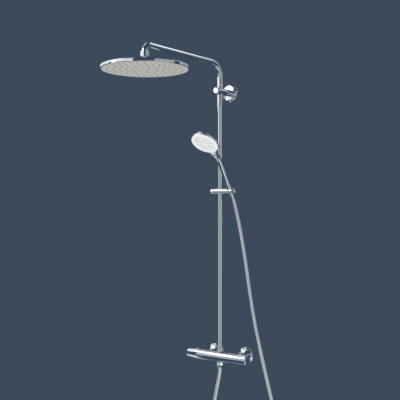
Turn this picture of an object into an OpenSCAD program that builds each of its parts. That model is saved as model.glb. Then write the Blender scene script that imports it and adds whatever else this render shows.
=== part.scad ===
// Wall-mounted thermostatic shower column: mixer, riser, overhead shower, hand shower and hose.
// Origin: on the wall surface, midway between the two inlets, at the height of the mixer's axis.
// X runs to the right along the wall, Y into the wall, Z up. All sizes are millimetres.

/* [Column] */
// Height of the arm's axis above the mixer's axis
arm_height = 1157; // [1145:1:1220]
// Distance of the upper wall bracket below the arm's axis
bracket_drop = 108; // [102:1:200]
// Distance from the wall to the axis of riser and mixer
riser_reach = 70; // [66:1:80]
// Outside diameter of riser and arm
tube_d = 22; // [21:0.5:23]
// Wall of riser and arm
tube_wall = 1.2; // [1:0.1:1.6]
// Distance from the riser to the centre of the overhead shower
arm_reach = 450; // [380:5:480]
// Radius of the arm's bend above the riser, to the tube's axis
rear_bend_r = 55; // [40:1:60]
// Radius of the arm's bend above the overhead shower
front_bend_r = 26; // [24:1:34]
// Height of the swivel joint above the bracket's bar
swivel_rise = 10; // [4:1:16]
// Depth of the arm's spigot in the riser
swivel_l = 40; // [30:1:60]
// Wall of the nylon swivel bush
bush_wall = 1.7; // [1.4:0.1:1.9]

/* [Mixer bar] */
// Diameter of the mixer's bar and handles
mixer_d = 44; // [43:0.5:48]
// Distance from the riser to the tip of the volume handle
left_tip = 157; // [152:1:170]
// Distance from the riser to the tip of the temperature handle
right_tip = 131; // [128:1:145]
// Length of the volume handle
volume_handle_l = 55; // [50:1:58]
// Length of the temperature handle
temperature_handle_l = 40; // [36:1:42]
// Radius of the volume handle at its tip
volume_tip_r = 17; // [15:0.5:20]
// Wall of both handles
handle_wall = 4; // [3:0.2:5]
// Depth of the hollow that each handle has towards the bar
handle_hollow = 15; // [13:0.5:17]
// Diameter of the volume and diverter cartridge
diverter_d = 22; // [20:0.5:24]
// Length of the volume and diverter cartridge's bore
diverter_l = 62; // [56:1:64]
// Diameter of the thermostat cartridge
thermostat_d = 30; // [28:0.5:31]
// Length of the thermostat cartridge's bore
thermostat_l = 61; // [56:1:62]
// Radius of the round press buttons on the handles
button_r = 4; // [3:0.5:5]
// Travel of the press buttons
button_travel = 1.5; // [1:0.1:2]

/* [Inlets] */
// Spacing of the hot and cold inlets
inlet_spacing = 150; // [146:1:154]
// Height of the wall ends of the eccentric unions above the mixer's axis
union_throw = 6; // [2:0.5:8]
// Radius of the wall thread, G 1/2
wall_thread_r = 10.48; // [10.3:0.01:10.5]
// Length of the wall thread behind the wall surface
wall_thread_l = 16; // [14:1:22]
// Radius of the mixer-side thread, G 3/4
union_thread_r = 13.15; // [13:0.05:13.3]
// Depth of the wall flanges
flange_depth = 22; // [18:1:23]
// Diameter of the wall flanges of mixer and bracket
flange_d = 70; // [62:1:74]
// Wall of the pressed flanges
flange_wall = 1.5; // [1:0.1:2]
// Radius of the mixer's inlet spigots
spigot_r = 10.4; // [10:0.1:11]
// Radius of the bore that takes the check valve
check_bore_r = 8; // [7.6:0.1:8.4]
// Opening travel of the check valve poppets
check_travel = 3; // [2:0.1:3.2]

/* [Upper bracket] */
// Diameter of the bracket's bar
bar_d = 28; // [27:0.5:32]
// Length of the bar in front of the riser's axis, without its cap
bar_front = 22; // [19:0.5:26]
// Length of the bar's domed cap
cap_l = 8; // [6:0.5:10]
// Spacing of the two wall screws
screw_spacing = 40; // [34:1:44]
// Radius of the wall screws' holes
screw_hole_r = 2.75; // [2.2:0.05:3]
// Thickness of the wall plate
plate_t = 5; // [4:0.5:6]

/* [Overhead shower] */
// Diameter of the overhead shower
head_d = 310; // [280:2:330]
// Height of the overhead shower's rim
rim_h = 12; // [11:0.5:14]
// Drop from the arm's axis to the underside of the overhead shower
head_drop = 88.5; // [86:0.5:96]
// Height of the ball's centre above the underside
ball_rise = 30; // [29:0.5:32]
// Radius of the ball
ball_r = 12; // [11:0.1:12.5]
// Wall of the two plastic ball seats
seat_wall = 2.4; // [2:0.1:2.8]
// Radius of a nozzle's silicone tip
nozzle_r = 2; // [1.6:0.1:2.4]
// Distance between rings of nozzles
nozzle_pitch = 22; // [20:0.5:24]
// Number of rings of nozzles
nozzle_rings = 6; // [4:1:6]

/* [Slider and holder] */
// Height of the slider above the mixer's axis
slider_height = 654; // [400:1:760]
// Height of the slider's body
slider_h = 20; // [19:0.5:24]
// Depth of the slider's body, front to back
slider_depth = 34; // [33:0.5:40]
// Half length of the slider's body along the bar
slider_half = 24; // [20:0.5:25]
// Wall of the slider's nylon bush
slider_bush_wall = 2; // [1.6:0.1:2.4]
// Length of the clamping knob
knob_l = 17; // [14:1:22]
// Distance from the riser's axis to the axis of the hand shower's cone
seat_out = 50; // [48:0.5:56]
// Lean of the hand shower from upright, towards the room
hand_lean = 32; // [15:1:40]
// Wall of the holder beyond its conical seat
seat_side = 3.4; // [3:0.1:4]

/* [Hand shower] */
// Distance from the cone's middle to the centre of the spray head, along the handle
hand_l = 240; // [225:1:250]
// Distance from the cone's middle to the bend, along the handle
grip_l = 135; // [125:1:140]
// Diameter of the spray head
hand_head_d = 105; // [94:1:110]
// Angle between the handle and the spray head
head_bend = 23; // [18:1:26]
// Radius of the handle at its base
grip_base_r = 12; // [11.9:0.1:13]
// Radius of the handle in the middle
grip_mid_r = 10; // [9:0.1:11]
// Thickness of the spray head behind its middle plane
head_back = 11; // [10:0.5:14]
// Thickness of the spray head in front of its middle plane
head_front = 6; // [5:0.5:8]
// Width of the turning spray ring
ring_w = 5.5; // [4:0.5:7]
// Radius of the cone at its wide end
cone_top_r = 12.4; // [12.2:0.1:12.8]
// Radius of the cone at its narrow end
cone_low_r = 10.6; // [10.2:0.1:10.8]
// Length of the cone
cone_l = 28; // [26:1:30]

/* [Hose] */
// Outside diameter of the hose
hose_d = 14; // [12:0.5:15]
// Length of the crimped sleeve at the hose's upper end
ferrule_l = 20; // [16:1:24]
// Length of the nut at the hose's lower end
hose_nut_l = 17; // [15:1:20]

/* [Fits] */
// Radial clearance of running fits
run_gap = 0.06; // [0.03:0.01:0.09]
// Gap between faces of pieces that move past each other
face_gap = 0.3; // [0.25:0.05:0.4]

/* [Hidden] */
$fn = 64;

tube_r = tube_d / 2;
tube_bore = tube_r - tube_wall;
mixer_r = mixer_d / 2;
body_left = -(left_tip - volume_handle_l);
body_right = right_tip - temperature_handle_l;
inlet_x = inlet_spacing / 2;

// Passages in the mixer's body
diverter_r = diverter_d / 2;
thermostat_r = thermostat_d / 2;
diverter_end = body_left + diverter_l;
thermostat_end = body_right - thermostat_l;
diverter_port = diverter_end - 8;
drum_l = 9;
gallery_off = mixer_r - 6;
gallery_r = 3;
port_r = 6;
cartridge_out = 2;
cartridge_gap = 0.1;
spindle_r = 4;
hub_l = 10;
handle_clear = 0.4;
screw_r = 2;
screw_head_r = 3.5;
screw_head_l = 4;
screw_bite = 8;
tip_recess = 6;
cap_r = 9;
cap_t = 3;

// Riser foot
foot_seat = mixer_r + 2;
foot_top = foot_seat + 10;
foot_r = tube_r + 2.2;
foot_nut_wall = 1.6;
foot_nut_l = 15;
seal_h = 3;

// Inlets, measured as distances in front of the wall
union_throat_r = 6.5;
union_body_r = 15;
union_body_t = 9;
union_out = flange_depth + 10;
washer_t = 2.5;
spigot_out = union_out + washer_t;
lip_t = 2.5;
nut_back = spigot_out + lip_t;
nut_front = nut_back + 7;
nut_corner_r = 17.5;
wall_loss = 0.05;

// Check valves, as distances in front of the wall
cage_back = spigot_out + 0.5;
cage_l = 11 + check_travel;
cage_wall = 1.7;
cage_r = check_bore_r - 0.05;
cage_seat_t = 3;
cage_guide_t = 2;
poppet_t = 2;
stem_r = 1.5;
stem_tail = 2;

// Upper bracket, as distances in front of the wall
bar_r = bar_d / 2;
boss_r = bar_r - 4.2;
boss_out = plate_t + 12;
bar_back = plate_t + 1.5;
bracket_flange_out = 10;
bar_out = riser_reach + bar_front;
clamp_r = 5;

// Swivel joint of the arm
bracket_height = arm_height - bracket_drop;
riser_top = bracket_height + bar_r + swivel_rise;
bush_flange_t = 1.5;
arm_start = riser_top + bush_flange_t + face_gap;
bush_bore = tube_bore - bush_wall;
arm_spigot_r = bush_bore - run_gap;
arm_spigot_bore = arm_spigot_r - 2;
ring_r = 0.5;

// Overhead shower
head_y = -riser_reach - arm_reach;
head_r = head_d / 2;
head_z = arm_height - head_drop;
ball_z = head_z + ball_rise;
arm_end = arm_height - front_bend_r;
thread_r = 10.4;
thread_l = 12;
connector_l = 18;
connector_r = 15.5;
neck_r = ball_r / 2;
seat_out_r = ball_r + run_gap + seat_wall;
socket_r = seat_out_r + run_gap;
hub_r = socket_r + 2.5;
retainer_r = hub_r + 2;
retainer_top = 7;
retainer_skirt = 5;
shell_t = 1.6;
rim_round = 1.5;
plate_d = 2;
mat_t = 2;
plate_low = 0.4;
chamber_h = 2.6;
deck_t = 1.8;
deck_r = head_r - 6.5;
gasket_w = 8;
nozzle_hole_gap = 0.3;
nozzle_out = 2;
nozzle_bore = 0.8;
deck_screw_r = head_r * 0.78;
deck_screws = 6;

// Slider, holder and hand shower
seat_pos = [seat_out, -riser_reach, slider_height];
slider_bore = tube_r + run_gap + slider_bush_wall;
pivot_r = 4;
holder_start = slider_half + face_gap;
cone_half = cone_l / 2;
head_off = sin(head_bend);
head_up = cos(head_bend);
hand_off = (hand_l - grip_l) * head_off / head_up;
hand_r = hand_head_d / 2;
hand_face_r = hand_r - ring_w - 1;
ferrule_r = hose_d / 2 + 1.2;
ferrule_neck_r = 6;
hose_bore_r = 4;

// Ends of the hose, and the route between them as chosen by hand
hose_nut_top = mixer_r + 3;
hose_start = hose_nut_top + hose_nut_l;
hose_end = cone_half + face_gap + ferrule_l;
hose_sides = 10;
hose_steps = 3;
hose_route = [
    [-7, -70, -92], [-18, -69, -138], [-34, -66, -205], [-52, -62, -290], [-47, -57, -375],
    [-3, -51, -457], [72, -45, -496], [156, -38, -465], [218, -33, -375], [236, -30, -280],
    [223, -28, -190], [202, -28, -110], [180, -28, -30], [156, -28, 60], [132, -28, 160],
    [111, -28, 270], [94, -28, 370], [77, -28, 460], [65, -28, 515], [56, -30.5, 556], [51.5, -37.5, 591]
];

// Round bars along each axis, from one coordinate to another
module rod_x(r, from, to) {
    translate([from, 0, 0]) rotate([0, 90, 0]) cylinder(r = r, h = to - from);
}
module rod_y(r, from, to) {
    translate([0, from, 0]) rotate([-90, 0, 0]) cylinder(r = r, h = to - from);
}
module rod_z(r, from, to) {
    translate([0, 0, from]) cylinder(r = r, h = to - from);
}
// A turned shape around the X axis, from a profile of [radius, x]
module turned_x(profile) {
    rotate([0, 90, 0]) rotate_extrude() polygon(profile);
}
// A turned shape in front of the wall, from a profile of [radius, distance from the wall]
module turned_out(profile) {
    rotate([90, 0, 0]) rotate_extrude() polygon(profile);
}
// A quarter of a ring, bent from upright to level, with the tube's radius and the bend's radius
module elbow(r, bend) {
    rotate([90, 0, 90]) rotate_extrude(angle = 90) translate([bend, 0]) circle(r);
}

// Frames of the assemblies
module on_mixer() {
    translate([0, -riser_reach, 0]) children();
}
module on_inlet(side) {
    translate([side * inlet_x, 0, 0]) children();
}
module on_bracket() {
    translate([0, 0, bracket_height]) children();
}
module on_head() {
    translate([0, head_y, head_z]) children();
}
module on_ball() {
    translate([0, head_y, ball_z]) children();
}
module on_slider() {
    translate([0, -riser_reach, slider_height]) children();
}
module on_hand() {
    translate(seat_pos) rotate([hand_lean, 0, 0]) children();
}
module on_spray() {
    on_hand() translate([0, -hand_off, hand_l]) rotate([head_bend, 0, 0]) children();
}

// Mixer

// One brass casting: the bar, two inlet spigots behind it and the riser's socket on top
module mixer_body() {
    color("silver") difference() {
        union() {
            on_mixer() rod_x(mixer_r, body_left, body_right);
            on_mixer() rod_z(foot_r, 0, foot_top);
            on_mixer() rod_z(thread_r + 1.6, -mixer_r - 1, 0);
            for (side = [-1, 1]) on_inlet(side) {
                rod_y(spigot_r, -riser_reach, -spigot_out);
                rod_y(union_thread_r - 0.2, -spigot_out - lip_t, -spigot_out);
            }
        }
        on_mixer() {
            rod_x(diverter_r, body_left - 1, diverter_end);
            rod_x(thermostat_r, thermostat_end, body_right + 1);
            rod_x(port_r, diverter_end - 1, thermostat_end + 1);
            translate([0, gallery_off, 0]) rod_x(gallery_r, -inlet_x, thermostat_end + 8);
            for (side = [-1, 1]) {
                translate([0, 0, side * gallery_off]) rod_x(gallery_r, diverter_port - gallery_r, port_r);
                translate([diverter_port, 0, 0]) mirror([0, 0, (1 - side) / 2])
                    rod_z(gallery_r - 0.5, diverter_r - 1, gallery_off);
            }
            rod_z(port_r, gallery_off - 4, foot_seat + 1);
            rod_z(tube_r + wall_loss, foot_seat, foot_top + 1);
            rod_z(port_r + 2, -mixer_r - 2, -gallery_off + 4);
        }
        on_inlet(-1) rod_y(check_bore_r, -riser_reach + gallery_off - 2, -spigot_out + 1);
        on_inlet(1) rod_y(check_bore_r, -riser_reach + thermostat_r - 3, -spigot_out + 1);
    }
}

// Eccentric union: wall thread, an oval middle and the mixer-side thread below it
module inlet_union(side) {
    on_inlet(side) difference() {
        union() {
            translate([0, 0, union_throw]) rod_y(wall_thread_r, -1, wall_thread_l);
            rod_y(union_body_r, -union_body_t, 0);
            translate([0, 0, union_throw]) rod_y(union_body_r, -union_body_t, 0);
            translate([-union_body_r, -union_body_t, 0])
                cube([2 * union_body_r, union_body_t, union_throw]);
            rod_y(union_thread_r, -union_out, -union_body_t + 1);
        }
        translate([0, 0, union_throw]) rod_y(union_throat_r, -union_body_t + 3, wall_thread_l + 1);
        rod_y(union_throat_r, -union_out - 1, -3);
    }
}
module inlet_union_hot() {
    color("goldenrod") inlet_union(-1);
}
module inlet_union_cold() {
    color("goldenrod") inlet_union(1);
}

// Loose hexagon nuts, each caught behind the lip of its spigot
module union_nuts() {
    color("silver") for (side = [-1, 1]) on_inlet(side) difference() {
        translate([0, -flange_depth - 0.5, 0]) rotate([90, 0, 0])
            cylinder(r = nut_corner_r, h = nut_front - flange_depth - 0.5, $fn = 6);
        rod_y(union_thread_r + wall_loss, -nut_back, -flange_depth + 1);
        rod_y(spigot_r + wall_loss, -nut_front - 1, -nut_back + 1);
    }
}

// Pressed flanges that hide the holes in the wall
module wall_flanges() {
    collar_r = union_thread_r + 0.15;
    rim = flange_d / 2;
    color("silver") for (side = [-1, 1]) on_inlet(side) turned_out([
        [rim, 0], [rim, 3], [rim - 3, 8], [rim - 9, 14], [collar_r + 5, flange_depth - 3],
        [collar_r + 2.5, flange_depth], [collar_r, flange_depth],
        [collar_r, flange_depth - flange_wall], [collar_r + 4, flange_depth - 3 - flange_wall],
        [rim - 9.7, 14 - flange_wall], [rim - 3 - flange_wall, 7.5], [rim - flange_wall, 3],
        [rim - flange_wall, 0]
    ]);
}

// Washer and strainer basket between each union and its spigot
module inlet_filters() {
    basket_r = union_throat_r - 0.2;
    color("dimgray") for (side = [-1, 1]) on_inlet(side) difference() {
        union() {
            rod_y(union_thread_r - 0.2, -spigot_out, -union_out);
            rod_y(basket_r, -union_out - 1, -union_out + 6);
        }
        rod_y(basket_r - 0.8, -spigot_out - 1, -union_out + 5.2);
        for (turn = [0:60:300]) rotate([0, turn, 0]) translate([3.2, 0, 0])
            rod_y(1, -union_out + 4, -union_out + 7);
    }
}

// Plastic cage of each check valve: seat towards the wall, guide towards the mixer
module check_cages() {
    hole_r = cage_r - cage_wall - 2.4;
    color("white") for (side = [-1, 1]) on_inlet(side) difference() {
        rod_y(cage_r, -cage_back - cage_l, -cage_back);
        rod_y(cage_r - cage_wall, -cage_back - cage_l + cage_guide_t, -cage_back - cage_seat_t);
        rod_y(hole_r, -cage_back - cage_seat_t - 1, -cage_back + 1);
        rod_y(stem_r + run_gap, -cage_back - cage_l - 1, -cage_back - cage_l + cage_guide_t + 1);
        for (turn = [45:90:315]) rotate([0, turn, 0]) translate([3.8, 0, 0])
            rod_y(1.2, -cage_back - cage_l - 1, -cage_back - cage_l + cage_guide_t + 1);
    }
}
module check_poppet(side) {
    face = cage_back + cage_seat_t + face_gap;
    tail = cage_back + cage_l + stem_tail;
    on_inlet(side) {
        rod_y(cage_r - cage_wall - 0.6, -face - poppet_t, -face);
        rod_y(stem_r, -tail, -face - poppet_t + 0.5);
    }
}
module check_poppet_hot() {
    color("firebrick") check_poppet(-1);
}
module check_poppet_cold() {
    color("steelblue") check_poppet(1);
}

// Steel springs that close the poppets, each one unbroken wire
module check_springs() {
    low = cage_back + cage_l - cage_guide_t - 0.1;
    high = cage_back + cage_seat_t + face_gap + poppet_t + 0.1;
    color("gray") for (side = [-1, 1]) on_inlet(side) translate([0, -low, 0]) rotate([-90, 0, 0])
        coil(3.6, 0.35, low - high, 4);
}
// A helical wire between two heights, from zero up
module coil(radius, wire, height, turns) {
    steps = 12 * turns;
    climb = height - 2 * wire;
    sweep_tube([for (i = [0:steps]) [radius * cos(30 * i), radius * sin(30 * i),
        wire + climb * i / steps]], wire, 6, [0, 0, 1]);
}

// Thermostat cartridge: brass housing with a hot and a cold port
module thermostat_housing() {
    inner = thermostat_r - 4;
    color("khaki") on_mixer() difference() {
        rod_x(thermostat_r - cartridge_gap, thermostat_end, body_right + cartridge_out);
        rod_x(inner, thermostat_end + 3, body_right - 2);
        rod_x(port_r - 1, thermostat_end - 1, thermostat_end + 4);
        rod_x(spindle_r + run_gap, body_right - 3, body_right + cartridge_out + 1);
        translate([thermostat_end + 6, 0, 0]) rod_y(2.5, inner - 1, thermostat_r + 1);
        translate([inlet_x, 0, 0]) rod_y(3.5, inner - 1, thermostat_r + 1);
    }
}
// Wax element with the sleeve that opens one port as it closes the other
module thermostat_piston() {
    start = thermostat_end + 8.8;
    end = inlet_x - 3.8;
    color("indianred") on_mixer() {
        difference() {
            rod_x(thermostat_r - 4 - run_gap, start, end);
            rod_x(thermostat_r - 6.5, start - 1, start + 11);
            rod_x(thermostat_r - 6.5, start + 14, end + 1);
            for (turn = [45:90:315]) rotate([turn, 0, 0]) translate([0, 0, 6.4])
                rod_x(1.7, start + 10, start + 15);
        }
        rod_x(4.5, start + 13, thermostat_end + 36);
    }
}
module temperature_spindle() {
    start = thermostat_end + 38;
    color("tan") on_mixer() difference() {
        union() {
            rod_x(spindle_r + 3, start, start + 4);
            rod_x(spindle_r, start + 3, temperature_hub + hub_l);
        }
        rod_x(screw_r, temperature_hub + hub_l - screw_bite, temperature_hub + hub_l + 1);
    }
}
temperature_hub = right_tip - tip_recess - hub_l - screw_head_l;

// Chromed temperature handle with the guard button's hole on top
module temperature_handle() {
    start = body_right + handle_clear;
    color("silver") on_mixer() difference() {
        turned_x(handle_profile(mixer_r, mixer_r - 1, start, right_tip, 1));
        rod_x(mixer_r - handle_wall, start - 1, start + handle_hollow);
        rod_x(spindle_r + wall_loss, start, temperature_hub + hub_l);
        rod_x(cap_r - 2, temperature_hub + hub_l, right_tip - cap_t);
        rod_x(cap_r, right_tip - cap_t, right_tip + 1);
        translate([start + handle_hollow / 2, 0, 0])
            rod_z(button_r + run_gap, mixer_r - handle_wall - 1, mixer_r + 1);
    }
}
// Half outline of a handle: radius at the bar, radius near the tip, ends and rounded tip
function handle_profile(root_r, tip_r, start, tip, way) =
    concat([[0, start], [root_r - 0.5, start], [root_r, start + way * 0.5]],
        [for (a = [0:15:90]) [tip_r - 4 + 4 * cos(a), tip - way * 4 + way * 4 * sin(a)]],
        [[0, tip]]);
module temperature_cap() {
    color("lightgray") on_mixer() rod_x(cap_r, right_tip - cap_t, right_tip - 0.4);
}
module temperature_screw() {
    head_x = temperature_hub + hub_l;
    color("gray") on_mixer() {
        rod_x(screw_head_r, head_x, head_x + 3);
        rod_x(screw_r, head_x - screw_bite + 1, head_x + 1);
    }
}
// A press button with a collar that keeps it in the handle's wall
module press_button(proud) {
    collar_r = button_r + 1.2;
    hollow_r = mixer_r - handle_wall;
    collar_top = sqrt(hollow_r * hollow_r - collar_r * collar_r) - face_gap;
    rod_z(button_r, collar_top - 0.5, mixer_r + proud);
    rod_z(collar_r, collar_top - 1.3, collar_top);
}
module stop_button() {
    color("crimson") on_mixer() translate([body_right + handle_clear + handle_hollow / 2, 0, 0])
        press_button(button_travel + 0.3);
}

// Volume and diverter cartridge: water enters at its end and leaves by one of two side ports
module diverter_housing() {
    inner = diverter_r - 2.4;
    color("khaki") on_mixer() difference() {
        rod_x(diverter_r - cartridge_gap, body_left - cartridge_out, diverter_end);
        rod_x(inner, body_left + 3, diverter_end - 4);
        rod_x(spindle_r + run_gap, body_left - cartridge_out - 1, body_left + 4);
        rod_x(port_r - 2, diverter_end - 5, diverter_end + 1);
        translate([diverter_port, 0, 0]) rod_z(gallery_r - 0.5, -diverter_r - 1, diverter_r + 1);
    }
}
module diverter_drum() {
    face = diverter_end - 4 - face_gap;
    color("white") on_mixer() difference() {
        rod_x(diverter_r - 2.4 - run_gap, face - drum_l, face);
        rod_x(port_r - 1, face - drum_l + 2, face + 1);
        translate([diverter_port, 0, 0]) rod_y(gallery_r - 0.5, -diverter_r, 0);
    }
}
module diverter_spindle() {
    volume_end = volume_hub - hub_l;
    color("tan") on_mixer() difference() {
        rod_x(spindle_r, volume_end, diverter_end - 4 - face_gap - drum_l);
        rod_x(screw_r, volume_end - 1, volume_end + screw_bite);
    }
}
volume_hub = -(left_tip - tip_recess - hub_l - screw_head_l);

// Chromed volume handle, a little slimmer towards its tip
module volume_handle() {
    start = body_left - handle_clear;
    color("silver") on_mixer() difference() {
        turned_x(handle_profile(mixer_r, volume_tip_r, start, -left_tip, -1));
        rod_x(mixer_r - handle_wall, start - handle_hollow, start + 1);
        rod_x(spindle_r + wall_loss, volume_hub - hub_l, start);
        rod_x(cap_r - 2, -left_tip + cap_t, volume_hub - hub_l);
        rod_x(cap_r, -left_tip - 1, -left_tip + cap_t);
        translate([start - handle_hollow / 2, 0, 0])
            rod_z(button_r + run_gap, mixer_r - handle_wall - 1, mixer_r + 1);
    }
}
module volume_cap() {
    color("lightgray") on_mixer() rod_x(cap_r, -left_tip + 0.4, -left_tip + cap_t);
}
module volume_screw() {
    head_x = volume_hub - hub_l;
    color("gray") on_mixer() {
        rod_x(screw_head_r, head_x - 3, head_x);
        rod_x(screw_r, head_x - 1, head_x + screw_bite - 1);
    }
}
module eco_button() {
    color("silver") on_mixer() translate([body_left - handle_clear - handle_hollow / 2, 0, 0])
        press_button(button_travel + 0.3);
}

// Threaded outlet for the hose, screwed into the bar from below
module hose_outlet() {
    color("silver") on_mixer() mirror([0, 0, 1]) difference() {
        union() {
            rod_z(port_r + 2, gallery_off - 4, mixer_r + 2);
            rod_z(thread_r, mixer_r + 1, hose_nut_top + 8);
        }
        rod_z(port_r - 1, gallery_off - 5, hose_nut_top + 9);
        translate([0, 0, gallery_off]) rod_x(gallery_r - 0.5, -port_r - 3, 0);
    }
}

// Riser

module riser_nut() {
    bore_r = foot_r + wall_loss;
    color("silver") on_mixer() difference() {
        rod_z(bore_r + foot_nut_wall, mixer_r + 1.5, mixer_r + 1.5 + foot_nut_l);
        rod_z(bore_r, mixer_r, foot_top + seal_h);
        rod_z(tube_r + wall_loss, foot_top, mixer_r + 2.5 + foot_nut_l);
    }
}
module riser_seal() {
    color("black") on_mixer() difference() {
        rod_z(foot_r, foot_top, foot_top + seal_h);
        rod_z(tube_r, foot_top - 1, foot_top + seal_h + 1);
    }
}
module riser_tube() {
    color("silver") on_mixer() difference() {
        rod_z(tube_r, foot_seat, riser_top);
        rod_z(tube_bore, foot_seat - 1, riser_top + 1);
    }
}

// Upper wall bracket

module bracket_plate() {
    color("gray") on_bracket() difference() {
        union() {
            rod_y(flange_d / 2 - 6, -plate_t, 0);
            rod_y(boss_r, -boss_out, -plate_t + 1);
        }
        for (side = [-1, 1]) translate([0, 0, side * screw_spacing / 2])
            rod_y(screw_hole_r, -plate_t - 1, 1);
    }
}
module bracket_flange() {
    rim = flange_d / 2;
    eye = bar_r + 0.15;
    color("silver") on_bracket() turned_out([
        [rim, 0], [rim, 3.5], [rim - 2.5, 7], [rim - 6, 9], [eye + 2, bracket_flange_out],
        [eye, bracket_flange_out], [eye, bracket_flange_out - flange_wall],
        [rim - 6.5, 9 - flange_wall], [rim - 2.5 - flange_wall, 6], [rim - flange_wall, 3.5],
        [rim - flange_wall, 0]
    ]);
}
module bracket_bar() {
    color("silver") on_bracket() difference() {
        rod_y(bar_r, -bar_out, -bar_back);
        rod_y(boss_r + wall_loss, -boss_out - 0.2, -bar_back + 1);
        translate([0, -riser_reach, 0]) rod_z(tube_r + wall_loss, -bar_r - 1, bar_r + 1);
        rod_y(clamp_r, -bar_out - 1, -riser_reach);
        translate([0, -boss_out + 4, 0]) rod_z(screw_r, -bar_r - 1, 0);
    }
}
// Domed cap that closes the bar's front end
module bracket_cap() {
    color("white") on_bracket() {
        turned_out(concat([[0, bar_out], [bar_r, bar_out]], [for (a = [0:15:90])
            [bar_r - 5 + 5 * cos(a), bar_out + cap_l - 5 + 5 * sin(a)]], [[0, bar_out + cap_l]]));
    }
}
// Set screws: one clamps the riser, one holds the bar on the wall plate's boss
module bracket_screws() {
    color("dimgray") on_bracket() {
        rod_y(clamp_r, -bar_out, -riser_reach - tube_r);
        translate([0, -boss_out + 4, 0]) rod_z(screw_r, -bar_r + 1, -boss_r);
    }
}

// Arm

// The bent tube's outline at a radius, from its lower face to a depth under the front bend
module arm_shape(r, low, end) {
    translate([0, -riser_reach, 0]) rod_z(r, low, arm_height - rear_bend_r);
    translate([0, -riser_reach - rear_bend_r, arm_height - rear_bend_r]) elbow(r, rear_bend_r);
    translate([0, 0, arm_height]) rod_y(r, head_y + front_bend_r, -riser_reach - rear_bend_r);
    translate([0, head_y + front_bend_r, arm_height - front_bend_r]) mirror([0, 1, 0])
        elbow(r, front_bend_r);
    translate([0, head_y, 0]) rod_z(r, end, arm_height - front_bend_r);
}
module arm_tube() {
    color("silver") difference() {
        union() {
            arm_shape(tube_r, arm_start, arm_end - 0.1);
            translate([0, -riser_reach, 0]) rod_z(arm_spigot_r, riser_top - swivel_l, arm_start + 1);
            translate([0, head_y, 0]) rod_z(thread_r, arm_end - thread_l, arm_end);
        }
        arm_shape(tube_bore, arm_start + 4, arm_end - 1);
        translate([0, -riser_reach, 0])
            rod_z(arm_spigot_bore, riser_top - swivel_l - 1, arm_start + 5);
        translate([0, head_y, 0]) rod_z(thread_r - 2, arm_end - thread_l - 1, arm_end);
        for (z = seal_heights) translate([0, -riser_reach, z]) seal_groove();
    }
}
seal_heights = [riser_top - swivel_l + 8, riser_top - swivel_l + 16];
module seal_groove() {
    rotate_extrude() translate([arm_spigot_r - 2 * ring_r, -ring_r]) square([ring_r * 3, ring_r * 2]);
}
module arm_bush() {
    color("ivory") on_mixer() difference() {
        union() {
            rod_z(tube_bore, riser_top - swivel_l - 2, riser_top + 0.5);
            rod_z(tube_r, riser_top, riser_top + bush_flange_t);
        }
        rod_z(bush_bore, riser_top - swivel_l - 3, riser_top + bush_flange_t + 1);
    }
}
module arm_seals() {
    color("black") for (z = seal_heights) translate([0, -riser_reach, z])
        rotate_extrude() translate([arm_spigot_r - ring_r, 0]) circle(ring_r, $fn = 24);
}

// Nut with the ball below it, screwed onto the arm's thread
module ball_connector() {
    low = arm_end - connector_l;
    color("silver") translate([0, head_y, 0]) difference() {
        union() {
            rod_z(connector_r, low + 2, arm_end - 0.1);
            translate([0, 0, low]) cylinder(r1 = connector_r - 3, r2 = connector_r, h = 2);
            rod_z(neck_r, ball_z, low + 1);
            translate([0, 0, ball_z]) sphere(ball_r);
        }
        rod_z(thread_r + wall_loss, arm_end - thread_l - 2, arm_end + 1);
        rod_z(neck_r - 2.5, ball_z - ball_r - 1, arm_end - thread_l);
    }
}
module flow_regulator() {
    color("seagreen") translate([0, head_y, 0]) difference() {
        rod_z(thread_r, arm_end - thread_l - 2, arm_end - thread_l);
        for (turn = [0:60:300]) rotate([0, 0, turn]) translate([3, 0, 0])
            rod_z(1, arm_end - thread_l - 3, arm_end - thread_l + 1);
    }
}

// Overhead shower

// A slice of a hollow ball between two heights
module ball_ring(inside, outside, low, high) {
    difference() {
        intersection() {
            sphere(outside);
            rod_z(outside + 1, low, high);
        }
        sphere(inside);
    }
}
module upper_ball_seat() {
    color("ivory") on_ball() ball_ring(ball_r + run_gap, seat_out_r, 2.5, 5);
}
module lower_ball_seat() {
    color("ivory") on_ball() ball_ring(ball_r + run_gap, seat_out_r, -8, -2.5);
}
// Screwed collar that keeps the ball and its seats in the hub
module ball_retainer() {
    color("silver") on_ball() difference() {
        union() {
            rod_z(retainer_r, -retainer_skirt, 2);
            translate([0, 0, 2]) cylinder(r1 = retainer_r, r2 = retainer_r - 4, h = retainer_top - 2);
        }
        rod_z(hub_r + wall_loss, -retainer_skirt - 1, 0);
        sphere(socket_r);
    }
}
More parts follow.
